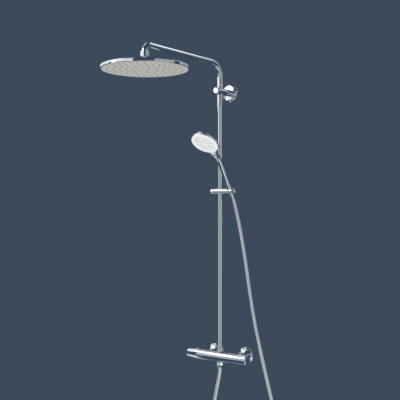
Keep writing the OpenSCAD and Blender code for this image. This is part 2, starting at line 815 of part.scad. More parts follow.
// Chromed top shell with its rim and the threaded hub for the ball joint
module head_shell() {
    dome = rim_h + 6;
    color("silver") on_head() difference() {
        union() {
            rotate_extrude() polygon(concat([[0, dome]], [[hub_r + 12, dome - 0.5]],
                [[head_r * 0.6, rim_h + 3.2], [head_r - 14, rim_h + 0.6]],
                [for (a = [90:-15:0]) [head_r - 3 + 3 * cos(a), rim_h - 3 + 3 * sin(a)]],
                [for (a = [0:-30:-90]) [head_r - rim_round + rim_round * cos(a),
                    rim_round + rim_round * sin(a)]],
                [[head_r - 3.4, 0], [head_r - 3.4, rim_h - 3.5], [head_r - 7, rim_h - 2],
                [head_r * 0.6, rim_h + 3.2 - shell_t], [hub_r + 12, dome - 0.5 - shell_t],
                [0, dome - shell_t]]));
            rod_z(hub_r, dome - shell_t, ball_rise);
            for (i = [1:deck_screws]) rotate([0, 0, i * 360 / deck_screws])
                translate([deck_screw_r, 0, 0]) rod_z(4, deck_top, deck_top + 3.4);
        }
        translate([0, 0, ball_rise]) ball_room();
        rod_z(port_r, 0, ball_rise);
        for (i = [1:deck_screws]) rotate([0, 0, i * 360 / deck_screws])
            translate([deck_screw_r, 0, 0]) rod_z(screw_r - 0.5, deck_top - 1, deck_top + 2);
    }
}
// Hollow of the hub: the seats' sphere with a flat floor, and room for the ball below it
module ball_room() {
    intersection() {
        sphere(socket_r);
        rod_z(socket_r + 1, -11.1, socket_r);
    }
    sphere(ball_r + face_gap);
}
plate_top = plate_low + plate_d;
mat_top = plate_top + mat_t;
deck_low = mat_top + chamber_h;
deck_top = deck_low + deck_t;
// Plate that spreads the water, with the inlet tube in its middle
module distribution_plate() {
    color("ivory") on_head() difference() {
        union() {
            rod_z(deck_r, deck_low, deck_top);
            rod_z(port_r - wall_loss, deck_low, rim_h + 6);
        }
        rod_z(port_r - 2, deck_low - 1, rim_h + 7);
        for (i = [1:deck_screws]) rotate([0, 0, i * 360 / deck_screws])
            translate([deck_screw_r, 0, 0]) rod_z(screw_r - 0.4, deck_low - 1, deck_top + 1);
    }
}
module head_gasket() {
    color("black") on_head() difference() {
        rod_z(deck_r, mat_top, deck_low);
        rod_z(deck_r - gasket_w, mat_top - 1, deck_low + 1);
    }
}
module head_screws() {
    color("gray") on_head() for (i = [1:deck_screws]) rotate([0, 0, i * 360 / deck_screws])
        translate([deck_screw_r, 0, 0]) {
            rod_z(screw_head_r, deck_low - 2, deck_low);
            rod_z(screw_r - 0.5, deck_low - 1, deck_top + 2);
        }
}
// Places on rings around the middle, six more on each ring
module on_rings(rings, pitch) {
    for (ring = [1:rings], i = [1:6 * ring]) rotate([0, 0, i * 60 / ring])
        translate([ring * pitch, 0, 0]) children();
}
// Silicone mat whose tips reach through the spray plate
module nozzle_mat() {
    color("dimgray") on_head() difference() {
        union() {
            rod_z(deck_r, plate_top, mat_top);
            on_rings(nozzle_rings, nozzle_pitch) rod_z(nozzle_r, -nozzle_out, plate_top + 0.5);
        }
        on_rings(nozzle_rings, nozzle_pitch) rod_z(nozzle_bore, -nozzle_out - 1, mat_top + 1);
    }
}
module spray_plate() {
    color("tan") on_head() difference() {
        rod_z(head_r - 3.5, plate_low, plate_top);
        on_rings(nozzle_rings, nozzle_pitch)
            rod_z(nozzle_r + nozzle_hole_gap, plate_low - 1, plate_top + 1);
    }
}

// Slider

// Rounded block around the riser with the pivot pin for the holder on its right
module slider_body() {
    corner = slider_h / 2 - 1;
    color("silver") on_slider() difference() {
        union() {
            translate([-slider_half, 0, 0]) rotate([90, 0, 90]) linear_extrude(2 * slider_half)
                rounded_slab(slider_depth, slider_h, corner);
            rod_x(pivot_r, slider_half - 1, holder_start + 9);
        }
        rod_z(slider_bore + wall_loss, -slider_h, slider_h);
        rod_x(3 + run_gap, -slider_half - 1, -slider_bore + 2);
    }
}
// A rectangle with round corners, centred
module rounded_slab(wide, high, r) {
    square([wide - 2 * r, high], center = true);
    square([wide, high - 2 * r], center = true);
    for (sx = [-1, 1], sy = [-1, 1])
        translate([sx * (wide / 2 - r), sy * (high / 2 - r)]) circle(r);
}
module slider_bush() {
    color("ivory") on_slider() difference() {
        rod_z(slider_bore, -slider_h / 2 + 0.5, slider_h / 2 - 0.5);
        rod_z(tube_r + run_gap, -slider_h, slider_h);
        translate([0, 0, -slider_h]) cube([slider_bore + 1, 1.5, 2 * slider_h]);
    }
}
// Clamping knob with shallow grip flutes and its screw
module clamp_knob() {
    root = -slider_half - face_gap;
    knob_r = slider_h / 2 - 0.2;
    color("silver") on_slider() {
        difference() {
            union() {
                rod_x(knob_r, root - knob_l + 1.5, root);
                translate([root - knob_l, 0, 0]) rotate([0, 90, 0])
                    cylinder(r1 = knob_r - 1.5, r2 = knob_r, h = 1.5);
            }
            for (turn = [0:30:330]) rotate([turn, 0, 0]) translate([0, 0, knob_r + 1])
                rod_x(1.5, root - knob_l - 1, root - 3);
        }
        rod_x(3, root - 1, -slider_bore - face_gap);
    }
}

// Holder: carries on the slider's block past the pivot pin. The hand shower's cone sits in its
// slanting seat, whose end is open for the hose.
module shower_holder() {
    slope = (cone_top_r - cone_low_r) / cone_l;
    mid_r = (cone_top_r + cone_low_r) / 2 + face_gap;
    holder_end = seat_out + cone_top_r + seat_side;
    reach = (slider_depth + slider_h) / 2;
    slot = hose_d + 2;
    color("silver") difference() {
        on_slider() translate([holder_start, 0, 0]) rotate([90, 0, 90])
            linear_extrude(holder_end - holder_start)
                rounded_slab(slider_depth - 1, slider_h - 1, slider_h / 2 - 1.5);
        on_slider() rod_x(pivot_r + run_gap, holder_start - 1, holder_start + 9 + face_gap);
        on_hand() translate([0, 0, -reach]) cylinder(r1 = mid_r - reach * slope,
            r2 = mid_r + reach * slope, h = 2 * reach);
        on_hand() translate([0, -slot / 2, -reach]) cube([holder_end, slot, 2 * reach]);
    }
}

// Hand shower

// Sections of the hand shower from its base to the crown: [distance, bent, half width, front, back].
// Distances run along the handle up to the bend, and from there along the spray head's plane.
head_s = hand_off / head_off;
neck_s = head_s - 1.15 * hand_r;
hand_sections = concat(
    [[cone_half, 0, grip_base_r, grip_base_r, grip_base_r]],
    [[cone_half + 12, 0, grip_mid_r + 1, grip_mid_r + 1, grip_mid_r + 1]],
    [[45, 0, grip_mid_r, grip_mid_r, grip_mid_r]],
    [[80, 0, grip_mid_r, grip_mid_r, grip_mid_r]],
    [[grip_l - 17, 0, grip_mid_r, grip_mid_r, grip_mid_r]],
    [[neck_s * 0.26, 1, grip_mid_r + 1, head_front + 3, head_back - 0.5]],
    [[neck_s * 0.6, 1, grip_mid_r + 4, head_front + 3, head_back]],
    [for (i = [0:3]) [neck_s + hand_r * 0.2 * i, 1, hand_r * (0.38 + 0.165 * i),
        head_front + 2.5, head_back]],
    [for (a = [72:15:162]) [head_s - hand_r * cos(a), 1, hand_r * sin(a), head_front + 2,
        head_back - 3 * cos(a) * cos(a)]],
    [[head_s + hand_r * 0.995, 1, hand_r * 0.1, head_front * 0.5, head_back * 0.5]]
);
hand_sides = 32;
function section_ring(s) = [for (i = [0:hand_sides - 1])
    let (a = -360 * i / hand_sides, deep = sin(a) < 0 ? s[3] : s[4],
        p = [s[2] * cos(a), deep * sin(a)])
    s[1] == 0 ? [p[0], p[1], s[0]]
        : [p[0], -s[0] * head_off + p[1] * head_up, grip_l + s[0] * head_up + p[1] * head_off]];
module handset_body() {
    color("silver") difference() {
        union() {
            on_hand() skin([for (s = hand_sections) section_ring(s)]);
            on_hand() rod_z(thread_r, 3, cone_half + 2);
        }
        on_spray() rod_y(hand_r + 20, -60, -head_front);
        on_spray() rod_y(hand_face_r + face_gap, -head_front - 1, -head_front + 5);
        on_hand() rod_z(hose_bore_r + 1, 2, grip_l - 5);
    }
}
module handset_face() {
    color("whitesmoke") on_spray() difference() {
        rod_y(hand_face_r, -head_front - 2, -head_front + 1.5 - wall_loss);
        rotate([90, 0, 0]) on_rings(4, 9) rod_z(1.7, head_front - 2, head_front + 3);
    }
}
module handset_nozzles() {
    color("lightgray") on_spray() difference() {
        union() {
            rod_y(hand_face_r - 1, -head_front + 1.5, -head_front + 3.5);
            rotate([90, 0, 0]) on_rings(4, 9) rod_z(1.4, head_front - 2, head_front + 3.4);
        }
        rotate([90, 0, 0]) on_rings(4, 9) rod_z(0.6, head_front - 4, head_front + 4);
    }
}
// Ring that turns to choose the spray
module handset_ring() {
    inner = hand_face_r + face_gap;
    low = head_front + face_gap;
    color("whitesmoke") on_spray() turned_out([
        [inner, low], [hand_r - 0.5, low], [hand_r, low + 0.8], [hand_r - 0.6, low + 2.4],
        [hand_r - 2.2, low + 3.4], [inner + 0.6, low + 3.4], [inner, low + 2.8]
    ]);
}
module cone_nut() {
    color("silver") on_hand() difference() {
        translate([0, 0, -cone_half]) cylinder(r1 = cone_low_r, r2 = cone_top_r, h = cone_l);
        rod_z(thread_r + wall_loss, 2, cone_half + 1);
        rod_z(ferrule_neck_r + 2, -4, 3);
        rod_z(ferrule_neck_r + run_gap, -cone_half - 1, -3);
    }
}

// Hose

// Crimped sleeve and swivel neck at the hose's upper end
module hose_ferrule() {
    color("silver") on_hand() difference() {
        union() {
            rod_z(ferrule_r, -hose_end, -cone_half - face_gap);
            rod_z(ferrule_neck_r, -cone_half - 1, -3);
            rod_z(ferrule_neck_r + 1.7, -4 + face_gap, 0);
        }
        rod_z(hose_bore_r, -hose_end - 1, 1);
    }
}
module hose_nut() {
    color("silver") on_mixer() mirror([0, 0, 1]) difference() {
        union() {
            translate([0, 0, hose_nut_top]) cylinder(r = thread_r + 2, h = 9, $fn = 8);
            translate([0, 0, hose_nut_top + 9]) cylinder(r1 = thread_r + 1, r2 = ferrule_r,
                h = hose_nut_l - 9);
        }
        rod_z(thread_r + wall_loss, hose_nut_top - 1, hose_nut_top + 8);
        rod_z(hose_bore_r, hose_nut_top, hose_start + 1);
    }
}
function along_hand(z) = seat_pos + [0, -z * sin(hand_lean), z * cos(hand_lean)];
// The route with its two straight ends
function hose_points() = concat(
    [for (z = [0, 8, 16]) [0, -riser_reach, -hose_start - z]], hose_route,
    [for (z = [16, 8, 0]) along_hand(-hose_end - z)]);
// A point on the smooth curve between two route points
function smooth(a, b, c, d, t) = 0.5 * (2 * b + (c - a) * t + (2 * a - 5 * b + 4 * c - d) * t * t
    + (3 * b - a - 3 * c + d) * t * t * t);
function smooth_path(p, steps) = let (n = len(p) - 1, q = concat([2 * p[0] - p[1]], p,
    [2 * p[n] - p[n - 1]])) concat([for (i = [0:n - 1], k = [0:steps - 1])
    smooth(q[i], q[i + 1], q[i + 2], q[i + 3], k / steps)], [p[n]]);
module hose() {
    color("lightsteelblue") sweep_tube(smooth_path(hose_points(), hose_steps), hose_d / 2,
        hose_sides, [0, 1, 0]);
}

// A closed tube along a list of points, kept upright against a reference direction
module sweep_tube(path, r, sides, ref) {
    n = len(path) - 1;
    rings = [for (i = [0:n]) let (way = path[min(i + 1, n)] - path[max(i - 1, 0)],
        t = way / norm(way), side = cross(t, ref), s = side / norm(side), u = cross(s, t))
        [for (k = [0:sides - 1]) let (a = 360 * k / sides) path[i] + r * (cos(a) * s + sin(a) * u)]];
    skin(rings);
}
// A closed skin over rings of equally many points
module skin(rings) {
    n = len(rings);
    m = len(rings[0]);
    function at(i, k) = i * m + k % m;
    polyhedron(points = [for (ring = rings) each ring], faces = concat(
        [for (i = [0:n - 2], k = [0:m - 1]) each [[at(i, k), at(i, k + 1), at(i + 1, k)],
            [at(i, k + 1), at(i + 1, k + 1), at(i + 1, k)]]],
        [[for (k = [m - 1:-1:0]) k]], [[for (k = [0:m - 1]) (n - 1) * m + k]]));
}

mixer_body();
inlet_union_hot();
inlet_union_cold();
union_nuts();
wall_flanges();
inlet_filters();
check_cages();
check_poppet_hot();
check_poppet_cold();
check_springs();
thermostat_housing();
thermostat_piston();
temperature_spindle();
temperature_handle();
temperature_cap();
temperature_screw();
stop_button();
diverter_housing();
diverter_drum();
diverter_spindle();
volume_handle();
volume_cap();
volume_screw();
eco_button();
hose_outlet();
riser_nut();
riser_seal();
riser_tube();
bracket_plate();
bracket_flange();
bracket_bar();
bracket_cap();
bracket_screws();
arm_tube();
arm_bush();
arm_seals();
ball_connector();
flow_regulator();
upper_ball_seat();
lower_ball_seat();
ball_retainer();
head_shell();
distribution_plate();
head_gasket();
nozzle_mat();
spray_plate();
head_screws();
slider_body();
slider_bush();
clamp_knob();
shower_holder();
handset_body();
handset_face();
handset_nozzles();
handset_ring();
cone_nut();
hose_ferrule();
hose_nut();
hose();
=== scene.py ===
# A wall-mounted thermostatic shower column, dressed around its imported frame.
# Everything is in metres, in the frame of the CAD: X along the wall, Y into it, Z up.
import math

import bmesh
import bpy
from mathutils import Matrix, Vector


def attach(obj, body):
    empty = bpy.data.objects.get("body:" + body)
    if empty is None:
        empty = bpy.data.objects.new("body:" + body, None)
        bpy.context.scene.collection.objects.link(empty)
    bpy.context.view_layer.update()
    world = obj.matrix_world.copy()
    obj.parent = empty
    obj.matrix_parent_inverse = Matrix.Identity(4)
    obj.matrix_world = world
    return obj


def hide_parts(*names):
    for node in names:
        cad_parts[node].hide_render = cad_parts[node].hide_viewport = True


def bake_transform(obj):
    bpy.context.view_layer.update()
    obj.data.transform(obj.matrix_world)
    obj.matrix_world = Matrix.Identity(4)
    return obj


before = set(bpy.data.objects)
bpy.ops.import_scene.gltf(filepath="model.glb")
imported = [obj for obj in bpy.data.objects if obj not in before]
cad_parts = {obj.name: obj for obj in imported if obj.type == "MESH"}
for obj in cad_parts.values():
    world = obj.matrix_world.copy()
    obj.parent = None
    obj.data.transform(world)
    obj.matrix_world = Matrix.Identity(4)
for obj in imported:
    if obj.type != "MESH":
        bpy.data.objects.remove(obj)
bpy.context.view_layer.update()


# Studio: a pale floor that fades into a plain slate backdrop. Chrome shows what stands around it,
# so the light comes from large soft panels: bright ones above the camera's left, dim ones all
# round at eye level, with a dark gap above the camera, which stands as in the photograph.
def add_node(tree, kind, **settings):
    node = tree.nodes.new(kind)
    for name, value in settings.items():
        setattr(node, name, value)
    return node


def link(tree, source, target):
    tree.links.new(source, target)


def value_of(tree, operation, a, b=None, c=None, clamp=False):
    """One step of arithmetic on sockets or plain numbers."""
    node = add_node(tree, "ShaderNodeMath", operation=operation, use_clamp=clamp)
    for socket, value in zip(node.inputs, (a, b, c), strict=True):
        if isinstance(value, bpy.types.NodeSocket):
            link(tree, value, socket)
        elif value is not None:
            socket.default_value = value
    return node.outputs[0]


def seen_rays(tree):
    """One for what the camera sees directly, mirrored or through glass, nought for lighting."""
    rays = add_node(tree, "ShaderNodeLightPath")
    seen = value_of(tree, "ADD", rays.outputs["Is Camera Ray"], rays.outputs["Is Glossy Ray"])
    return value_of(tree, "ADD", seen, rays.outputs["Is Transmission Ray"], clamp=True)


BACKDROP = (0.045, 0.068, 0.105, 1)
FLOOR_COLOUR = (0.80, 0.80, 0.80, 1)
FLOOR_HEIGHT = -1.10
FLOOR_REACH = 40
FLOOR_FADE = 1.6
AIM = Vector((0.0, -0.2, 0.55))

bpy.context.scene.view_settings.view_transform = "Standard"

world = bpy.data.worlds.new("studio")
bpy.context.scene.world = world
world.use_nodes = True
tree = world.node_tree
tree.nodes.clear()
seen = seen_rays(tree)
lit = add_node(tree, "ShaderNodeBackground")
lit.inputs["Color"].default_value = (0.93, 0.96, 1.0, 1)
lit.inputs["Strength"].default_value = 0.85
shown = add_node(tree, "ShaderNodeBackground")
shown.inputs["Color"].default_value = BACKDROP
mix = add_node(tree, "ShaderNodeMixShader")
link(tree, seen, mix.inputs[0])
link(tree, lit.outputs[0], mix.inputs[1])
link(tree, shown.outputs[0], mix.inputs[2])
link(tree, mix.outputs[0], add_node(tree, "ShaderNodeOutputWorld").inputs["Surface"])

floor_material = bpy.data.materials.new("studio_floor")
floor_material.use_nodes = True
tree = floor_material.node_tree
tree.nodes.clear()
place = add_node(tree, "ShaderNodeTexCoord")
distance = add_node(tree, "ShaderNodeVectorMath", operation="LENGTH")
link(tree, place.outputs["Object"], distance.inputs[0])
fade = add_node(tree, "ShaderNodeMapRange", interpolation_type="SMOOTHSTEP")
fade.inputs["From Min"].default_value = 0.0
fade.inputs["From Max"].default_value = FLOOR_FADE
link(tree, distance.outputs["Value"], fade.inputs["Value"])
paint = add_node(tree, "ShaderNodeBsdfDiffuse")
paint.inputs["Color"].default_value = FLOOR_COLOUR
far = add_node(tree, "ShaderNodeEmission")
far.inputs["Color"].default_value = BACKDROP
mix = add_node(tree, "ShaderNodeMixShader")
link(tree, value_of(tree, "MULTIPLY", fade.outputs["Result"], seen_rays(tree)), mix.inputs[0])
link(tree, paint.outputs[0], mix.inputs[1])
link(tree, far.outputs[0], mix.inputs[2])
link(tree, mix.outputs[0], add_node(tree, "ShaderNodeOutputMaterial").inputs["Surface"])

floor_mesh = bpy.data.meshes.new("floor")
floor_corners = [
    (FLOOR_REACH * x, FLOOR_REACH * y, FLOOR_HEIGHT)
    for x, y in ((-1, -1), (1, -1), (1, 1), (-1, 1))
]
floor_mesh.from_pydata(floor_corners, [], [(0, 1, 2, 3)])
floor_mesh.materials.append(floor_material)
studio_floor = bpy.data.objects.new("studio_floor", floor_mesh)
bpy.context.scene.collection.objects.link(studio_floor)


def soft_panel(name, bearing, height, away, size, brightness):
    """A panel at a bearing from the object's front, in degrees to the right, aimed at the object."""
    angle = math.radians(bearing - 90)
    place = Vector((away * math.cos(angle), away * math.sin(angle), height))
    lamp = bpy.data.lights.new(name, "AREA")
    lamp.shape = "RECTANGLE"
    lamp.size, lamp.size_y = size
    lamp.energy = brightness * math.pi * size[0] * size[1]
    stand = bpy.data.objects.new(name, lamp)
    stand.location = place
    stand.rotation_euler = (AIM - place).to_track_quat("-Z", "Y").to_euler()
    stand.visible_camera = False
    bpy.context.scene.collection.objects.link(stand)


soft_panel("key_panel", -38, 2.25, 2.7, (2.4, 1.05), 2.4)
soft_panel("glint_panel", -35, 1.40, 2.8, (0.45, 0.64), 1.5)
soft_panel("rim_panel", -21, 1.62, 3.0, (3.5, 0.36), 0.36)
soft_panel("left_panel", -18, 0.65, 3.3, (3.6, 3.0), 0.42)
soft_panel("far_left_panel", -82, 2.05, 3.0, (3.6, 1.36), 0.82)
soft_panel("low_left_panel", -81, -0.34, 0.66, (0.60, 0.50), 0.60)
soft_panel("right_panel", 84, 0.70, 3.0, (3.1, 3.2), 0.34)
soft_panel("front_panel", 37, 0.30, 3.6, (2.4, 2.4), 0.32)
soft_panel("wall_panel", 165, 2.40, 3.0, (3.6, 2.0), 0.32)
soft_panel("top_panel", 168, 3.1, 1.6, (1.6, 1.0), 1.2)
soft_panel("high_left_panel", -90, 3.0, 2.3, (3.2, 0.8), 0.30)
soft_panel("crown_panel", -78, 3.0, 1.30, (1.9, 0.8), 0.9)
soft_panel("low_right_panel", 62, -0.62, 1.10, (2.2, 0.9), 0.70)

camera_data = bpy.data.cameras.new("camera")
camera_data.sensor_width = 36
camera_data.lens = 67.41
camera_data.shift_y = 0.02325
camera_data.clip_end = 200
camera = bpy.data.objects.new("camera", camera_data)
camera.location = (1.7236, -2.4839, 0.5824)
camera.rotation_euler = (math.radians(90), 0, math.radians(37.06))
bpy.context.scene.collection.objects.link(camera)
bpy.context.scene.camera = camera


# Hose: 1750 mm long, a wound silver core in a smooth clear sleeve, 14 mm thick. Its lower
# end is nipped in the nut under the mixer, its upper end in the crimped ferrule.
HOSE_RADIUS = 0.007
HOSE_SIDES = 24
HOSE_START = (0, -0.070, -0.042)
HAND_LEAN = math.radians(32)
SEAT = Vector((0.050, -0.070, 0.654))
ALONG_HAND = Vector((0, -math.sin(HAND_LEAN), math.cos(HAND_LEAN)))
HOSE_ROUTE = [
    (-0.007, -0.070, -0.092), (-0.018, -0.069, -0.138), (-0.034, -0.066, -0.205),
    (-0.052, -0.062, -0.290), (-0.047, -0.057, -0.375), (-0.003, -0.051, -0.457),
    (0.072, -0.045, -0.496), (0.156, -0.038, -0.465), (0.218, -0.033, -0.375),
    (0.236, -0.030, -0.280), (0.223, -0.028, -0.190), (0.202, -0.028, -0.110),
    (0.180, -0.028, -0.030), (0.156, -0.028, 0.060), (0.132, -0.028, 0.160),
    (0.111, -0.028, 0.270), (0.094, -0.028, 0.370), (0.077, -0.028, 0.460),
    (0.065, -0.028, 0.515), (0.056, -0.0305, 0.556), (0.0515, -0.0375, 0.591),
]  # fmt: skip


def smooth_path(points, steps):
    """A smooth curve through points, with the given number of steps between two of them."""
    p = [2 * points[0] - points[1], *points, 2 * points[-1] - points[-2]]
    path = []
    for a, b, c, d in zip(p, p[1:], p[2:], p[3:], strict=False):
        for k in range(steps):
            t = k / steps
            path.append(
                0.5 * (2 * b + (c - a) * t + (2 * a - 5 * b + 4 * c - d) * t**2
                       + (3 * b - a - 3 * c + d) * t**3)
            )  # fmt: skip
    return [*path, points[-1]]


def smooth_shading(mesh, crease):
    """Shades a mesh smoothly, except over edges sharper than the crease in degrees."""
    mesh.polygons.foreach_set("use_smooth", [True] * len(mesh.polygons))
    mesh.set_sharp_from_angle(angle=math.radians(crease))


def link_mesh(name, mesh, material, crease=40):
    """Puts a mesh into the scene as a piece with one material and smooth, creased shading."""
    mesh.materials.clear()
    mesh.materials.append(material)
    smooth_shading(mesh, crease)
    piece = bpy.data.objects.new(name, mesh)
    bpy.context.scene.collection.objects.link(piece)
    return piece


def swept_tube(name, path, radius, sides):
    """A closed tube along a path, with a UV map in metres along it and turns around it."""
    bm = bmesh.new()
    uv = bm.loops.layers.uv.new("along")
    rings, run = [], [0.0]
    for i, point in enumerate(path):
        way = (path[min(i + 1, len(path) - 1)] - path[max(i - 1, 0)]).normalized()
        side = way.cross(Vector((0, 1, 0))).normalized()
        up = side.cross(way)
        rings.append([
            bm.verts.new(point + radius * (math.cos(a) * side + math.sin(a) * up))
            for a in (2 * math.pi * k / sides for k in range(sides))
        ])  # fmt: skip
        if i:
            run.append(run[-1] + (point - path[i - 1]).length)
    for i in range(len(path) - 1):
        for k in range(sides):
            n = (k + 1) % sides
            face = bm.faces.new((rings[i][k], rings[i][n], rings[i + 1][n], rings[i + 1][k]))
            corners = ((i, k), (i, k + 1), (i + 1, k + 1), (i + 1, k))
            for loop, (row, turn) in zip(face.loops, corners, strict=True):
                loop[uv].uv = (turn / sides, run[row])
    bm.faces.new(list(reversed(rings[0])))
    bm.faces.new(rings[-1])
    bmesh.ops.recalc_face_normals(bm, faces=bm.faces)
    mesh = bpy.data.meshes.new(name)
    bm.to_mesh(mesh)
    return mesh


def new_material(name, colour, metallic, roughness):
    """A material with a plain surface shader, its tree and the shader's node."""
    material = bpy.data.materials.new(name)
    material.use_nodes = True
    shader = material.node_tree.nodes["Principled BSDF"]
    shader.inputs["Base Color"].default_value = (*colour, 1)
    shader.inputs["Metallic"].default_value = metallic
    shader.inputs["Roughness"].default_value = roughness
    return material, material.node_tree, shader


def ramp_between(tree, mask, low, high):
    """Mixes two plain numbers by a mask."""
    node = add_node(tree, "ShaderNodeMapRange")
    node.inputs["To Min"].default_value = low
    node.inputs["To Max"].default_value = high
    link(tree, mask, node.inputs["Value"])
    return node.outputs["Result"]


def colour_between(tree, mask, low, high):
    """Mixes two plain colours by a mask."""
    node = add_node(tree, "ShaderNodeMix", data_type="RGBA")
    node.inputs["A"].default_value = (*low, 1)
    node.inputs["B"].default_value = (*high, 1)
    link(tree, mask, node.inputs["Factor"])
    return node.outputs["Result"]


silver_hose, tree, shader = new_material("silver_hose", (0.90, 0.92, 0.94), 0.9, 0.26)
STRAND_PITCH = 0.0016
uv = add_node(tree, "ShaderNodeUVMap", uv_map="along")
parts = add_node(tree, "ShaderNodeSeparateXYZ")
link(tree, uv.outputs["UV"], parts.inputs[0])
turns = value_of(tree, "DIVIDE", parts.outputs["Y"], STRAND_PITCH)
turns = value_of(tree, "ADD", turns, parts.outputs["X"])
wave = value_of(tree, "SINE", value_of(tree, "MULTIPLY", turns, 2 * math.pi))
strand = value_of(tree, "MULTIPLY_ADD", wave, 0.5, 0.5)
strand_colour = colour_between(tree, strand, (0.90, 0.92, 0.94), (0.96, 0.97, 0.98))
link(tree, strand_colour, shader.inputs["Base Color"])
link(tree, ramp_between(tree, strand, 0.46, 0.34), shader.inputs["Roughness"])
bump = add_node(tree, "ShaderNodeBump")
bump.inputs["Strength"].default_value = 1.0
bump.inputs["Distance"].default_value = 0.00008
link(tree, strand, bump.inputs["Height"])
link(tree, bump.outputs["Normal"], shader.inputs["Normal"])
shader.inputs["Coat Weight"].default_value = 0.8
shader.inputs["Coat Roughness"].default_value = 0.08

# It is straight where the nut and the cone hold it, at these distances below its start and the seat
BELOW_START = (0, 0.008, 0.016)
BELOW_SEAT = (0.0503, 0.0423, 0.0343, 0.0243)
hose_points = [Vector(HOSE_START) - Vector((0, 0, z)) for z in BELOW_START]
hose_points += [Vector(point) for point in HOSE_ROUTE]
hose_points += [SEAT - z * ALONG_HAND for z in BELOW_SEAT]
hose_path = smooth_path(hose_points, 8)

# From this step of the path on, the hose's upper end is a mesh of its own.
STRETCH_START = 168
hose_tube = swept_tube("shower_hose", hose_path[: STRETCH_START + 1], HOSE_RADIUS, HOSE_SIDES)
hose = link_mesh("shower_hose", hose_tube, silver_hose)
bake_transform(hose)
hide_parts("hose")

end_tube = swept_tube("hose_upper_end", hose_path[STRETCH_START:], HOSE_RADIUS, HOSE_SIDES)
hose_end = link_mesh("hose_upper_end", end_tube, silver_hose)
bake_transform(hose_end)


# Mixer bar: one brass casting, ground and chromed, with its wall unions, nuts and pressed
# flanges. Water leaves faint dried marks on the chrome, and the ground faces keep a fine grain.
marks = bpy.data.node_groups.new("water_marks", "ShaderNodeTree")
MARK_SOCKETS = {"Scale": "INPUT", "Amount": "INPUT", "Marks": "OUTPUT", "Grain": "OUTPUT"}
for name, direction in MARK_SOCKETS.items():
    marks.interface.new_socket(name, in_out=direction, socket_type="NodeSocketFloat")
entry = add_node(marks, "NodeGroupInput")
place = add_node(marks, "ShaderNodeTexCoord")
spots = add_node(marks, "ShaderNodeTexVoronoi", feature="F1")
link(marks, place.outputs["Object"], spots.inputs["Vector"])
link(marks, entry.outputs["Scale"], spots.inputs["Scale"])
spot_edge = add_node(marks, "ShaderNodeMapRange", interpolation_type="SMOOTHSTEP")
spot_edge.inputs["From Min"].default_value = 0.34
spot_edge.inputs["From Max"].default_value = 0.16
link(marks, spots.outputs["Distance"], spot_edge.inputs["Value"])
cloud = add_node(marks, "ShaderNodeTexNoise")
cloud.inputs["Scale"].default_value = 14
cloud.inputs["Detail"].default_value = 4
link(marks, place.outputs["Object"], cloud.inputs["Vector"])
patch = add_node(marks, "ShaderNodeMapRange", interpolation_type="SMOOTHSTEP")
patch.inputs["From Min"].default_value = 0.48
patch.inputs["From Max"].default_value = 0.66
link(marks, cloud.outputs["Fac"], patch.inputs["Value"])
dried = value_of(marks, "MULTIPLY", spot_edge.outputs["Result"], patch.outputs["Result"])
dried = value_of(marks, "MULTIPLY", dried, entry.outputs["Amount"], clamp=True)
grain = add_node(marks, "ShaderNodeTexNoise")
grain.inputs["Scale"].default_value = 900
grain.inputs["Detail"].default_value = 2
link(marks, place.outputs["Object"], grain.inputs["Vector"])
leave = add_node(marks, "NodeGroupOutput")
link(marks, dried, leave.inputs["Marks"])
link(marks, grain.outputs["Fac"], leave.inputs["Grain"])


def marked_metal(name, colour, rough, marked_rough, spot_scale, amount, edge):
    """Bright metal with dried water marks, a fine grain and softly rounded edges."""
    material, tree, shader = new_material(name, colour, 1.0, rough)
    group = add_node(tree, "ShaderNodeGroup", node_tree=marks)
    group.inputs["Scale"].default_value = spot_scale
    group.inputs["Amount"].default_value = amount
    roughness = ramp_between(tree, group.outputs["Marks"], rough, marked_rough)
    link(tree, roughness, shader.inputs["Roughness"])
    duller = tuple(c * 0.86 for c in colour)
    marked_colour = colour_between(tree, group.outputs["Marks"], colour, duller)
    link(tree, marked_colour, shader.inputs["Base Color"])
    bump = add_node(tree, "ShaderNodeBump")
    bump.inputs["Strength"].default_value = 0.04
    bump.inputs["Distance"].default_value = 0.0002
    link(tree, group.outputs["Grain"], bump.inputs["Height"])
    round_edge = add_node(tree, "ShaderNodeBevel", samples=4)
    round_edge.inputs["Radius"].default_value = edge
    link(tree, round_edge.outputs["Normal"], bump.inputs["Normal"])
    link(tree, bump.outputs["Normal"], shader.inputs["Normal"])
    return material


def dress(material, *names):
    """Gives CAD nodes a material through their object's slots, without touching their meshes."""
    for name in names:
        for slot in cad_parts[name].material_slots:
            slot.link = "OBJECT"
            slot.material = material


chromed_brass = marked_metal("chromed_brass", (0.84, 0.85, 0.87), 0.04, 0.14, 260, 0.3, 0.0005)
dress(chromed_brass, "mixer_body", "hose_outlet", "riser_nut", "union_nuts", "wall_flanges",
      "hose_nut", "hose_ferrule", "cone_nut")  # fmt: skip

raw_brass = marked_metal("raw_brass", (0.72, 0.52, 0.24), 0.22, 0.38, 180, 0.6, 0.0003)
dress(raw_brass, "inlet_union_hot", "inlet_union_cold", "thermostat_housing", "thermostat_piston",
      "temperature_spindle", "diverter_housing", "diverter_spindle")  # fmt: skip

stainless = marked_metal("stainless_steel", (0.60, 0.60, 0.61), 0.26, 0.36, 220, 0.4, 0.0003)
dress(stainless, "check_springs", "temperature_screw", "volume_screw", "bracket_plate",
      "bracket_screws", "head_screws")  # fmt: skip


